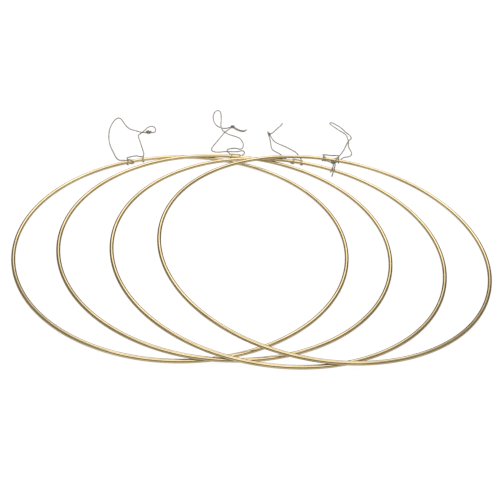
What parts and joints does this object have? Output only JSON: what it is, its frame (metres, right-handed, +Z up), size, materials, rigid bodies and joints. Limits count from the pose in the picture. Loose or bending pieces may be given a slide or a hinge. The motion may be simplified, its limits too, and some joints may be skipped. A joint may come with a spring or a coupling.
{
  "type": "wreath frame",
  "caption": "Round wreath frames bent from thin gold-coloured metal rod, lying fanned over each other, each with a knotted jute twine hanger hitched on at the back.",
  "frame": {"origin": "on the table, under the middle of the box round the fanned rings", "axes": "+X to the right along the fan, +Y towards the hangers at the back, +Z up"},
  "size_m": [0.4987, 0.4827, 0.0221],
  "materials": {
    "ring": "satin brass plating on round steel rod",
    "twine": "three-ply natural jute twine"
  },
  "bodies": {
    "frame_1": {"ring_1": "ring"},
    "frame_2": {"ring_2": "ring"},
    "frame_3": {"ring_3": "ring"},
    "frame_4": {"ring_4": "ring"},
    "hitch_1": {"hitch_1": "twine"},
    "hanger_1": {"left_strand_1": "twine", "right_strand_1": "twine", "bight_1": "twine", "knot_1": "twine", "tails_1": "twine"},
    "hitch_2": {"hitch_2": "twine"},
    "hanger_2": {"left_strand_2": "twine", "right_strand_2": "twine", "knot_2": "twine", "tails_2": "twine"},
    "hitch_3": {"hitch_3": "twine"},
    "hanger_3": {"left_strand_3": "twine", "right_strand_3": "twine", "knot_3": "twine", "tails_3": "twine"},
    "hitch_4": {"hitch_4": "twine", "knot_4": "twine", "tails_4": "twine"},
    "hanger_4": {"loop_4": "twine", "bight_4": "twine"}
  },
  "joints": [
    {"name": "frame_2_lift", "type": "slide", "parent": "frame_1", "child": "frame_2", "axis": [0, 0, 1], "range_m": [0, 0.05]},
    {"name": "frame_3_lift", "type": "slide", "parent": "frame_2", "child": "frame_3", "axis": [0, 0, 1], "range_m": [0, 0.05]},
    {"name": "frame_4_lift", "type": "slide", "parent": "frame_3", "child": "frame_4", "axis": [0, 0, 1], "range_m": [0, 0.05]},
    {"name": "hitch_1_creep", "type": "hinge", "parent": "frame_1", "child": "hitch_1", "pos_m": [-0.07438, 0.0007, 0.00274], "axis": [0.0018, -0.0038, 1], "range_deg": [-3, 6]},
    {"name": "hanger_1_swing", "type": "hinge", "parent": "hitch_1", "child": "hanger_1", "pos_m": [-0.14844, 0.15704, 0.00347], "axis": [0.9037, 0.4281, 0], "range_deg": [0, 60]},
    {"name": "hitch_2_creep", "type": "hinge", "parent": "frame_2", "child": "hitch_2", "pos_m": [-0.02838, 0.0023, 0.00642], "axis": [0.0253, -0.003, 0.9997], "range_deg": [-4, 1.5]},
    {"name": "hanger_2_swing", "type": "hinge", "parent": "hitch_2", "child": "hanger_2", "pos_m": [-0.02794, 0.1753, 0.00693], "axis": [0.9997, -0.0025, -0.0253], "range_deg": [0, 60]},
    {"name": "hitch_3_creep", "type": "hinge", "parent": "frame_3", "child": "hitch_3", "pos_m": [0.02712, -0.0034, 0.00889], "axis": [0.0396, -0.0045, 0.9992], "range_deg": [-3, 0]},
    {"name": "hanger_3_swing", "type": "hinge", "parent": "hitch_3", "child": "hanger_3", "pos_m": [0.04767, 0.16837, 0.00885], "axis": [0.9921, -0.1187, -0.0398], "range_deg": [0, 30]},
    {"name": "hitch_4_creep", "type": "hinge", "parent": "frame_4", "child": "hitch_4", "pos_m": [0.07462, 0.0034, 0.01104], "axis": [0.0521, -0.0027, 0.9986], "range_deg": [-1, 1]},
    {"name": "hanger_4_swing", "type": "hinge", "parent": "hitch_4", "child": "hanger_4", "pos_m": [0.08873, 0.17582, 0.01076], "axis": [0.9953, -0.0815, -0.0521], "range_deg": [0, 60]}
  ]
}
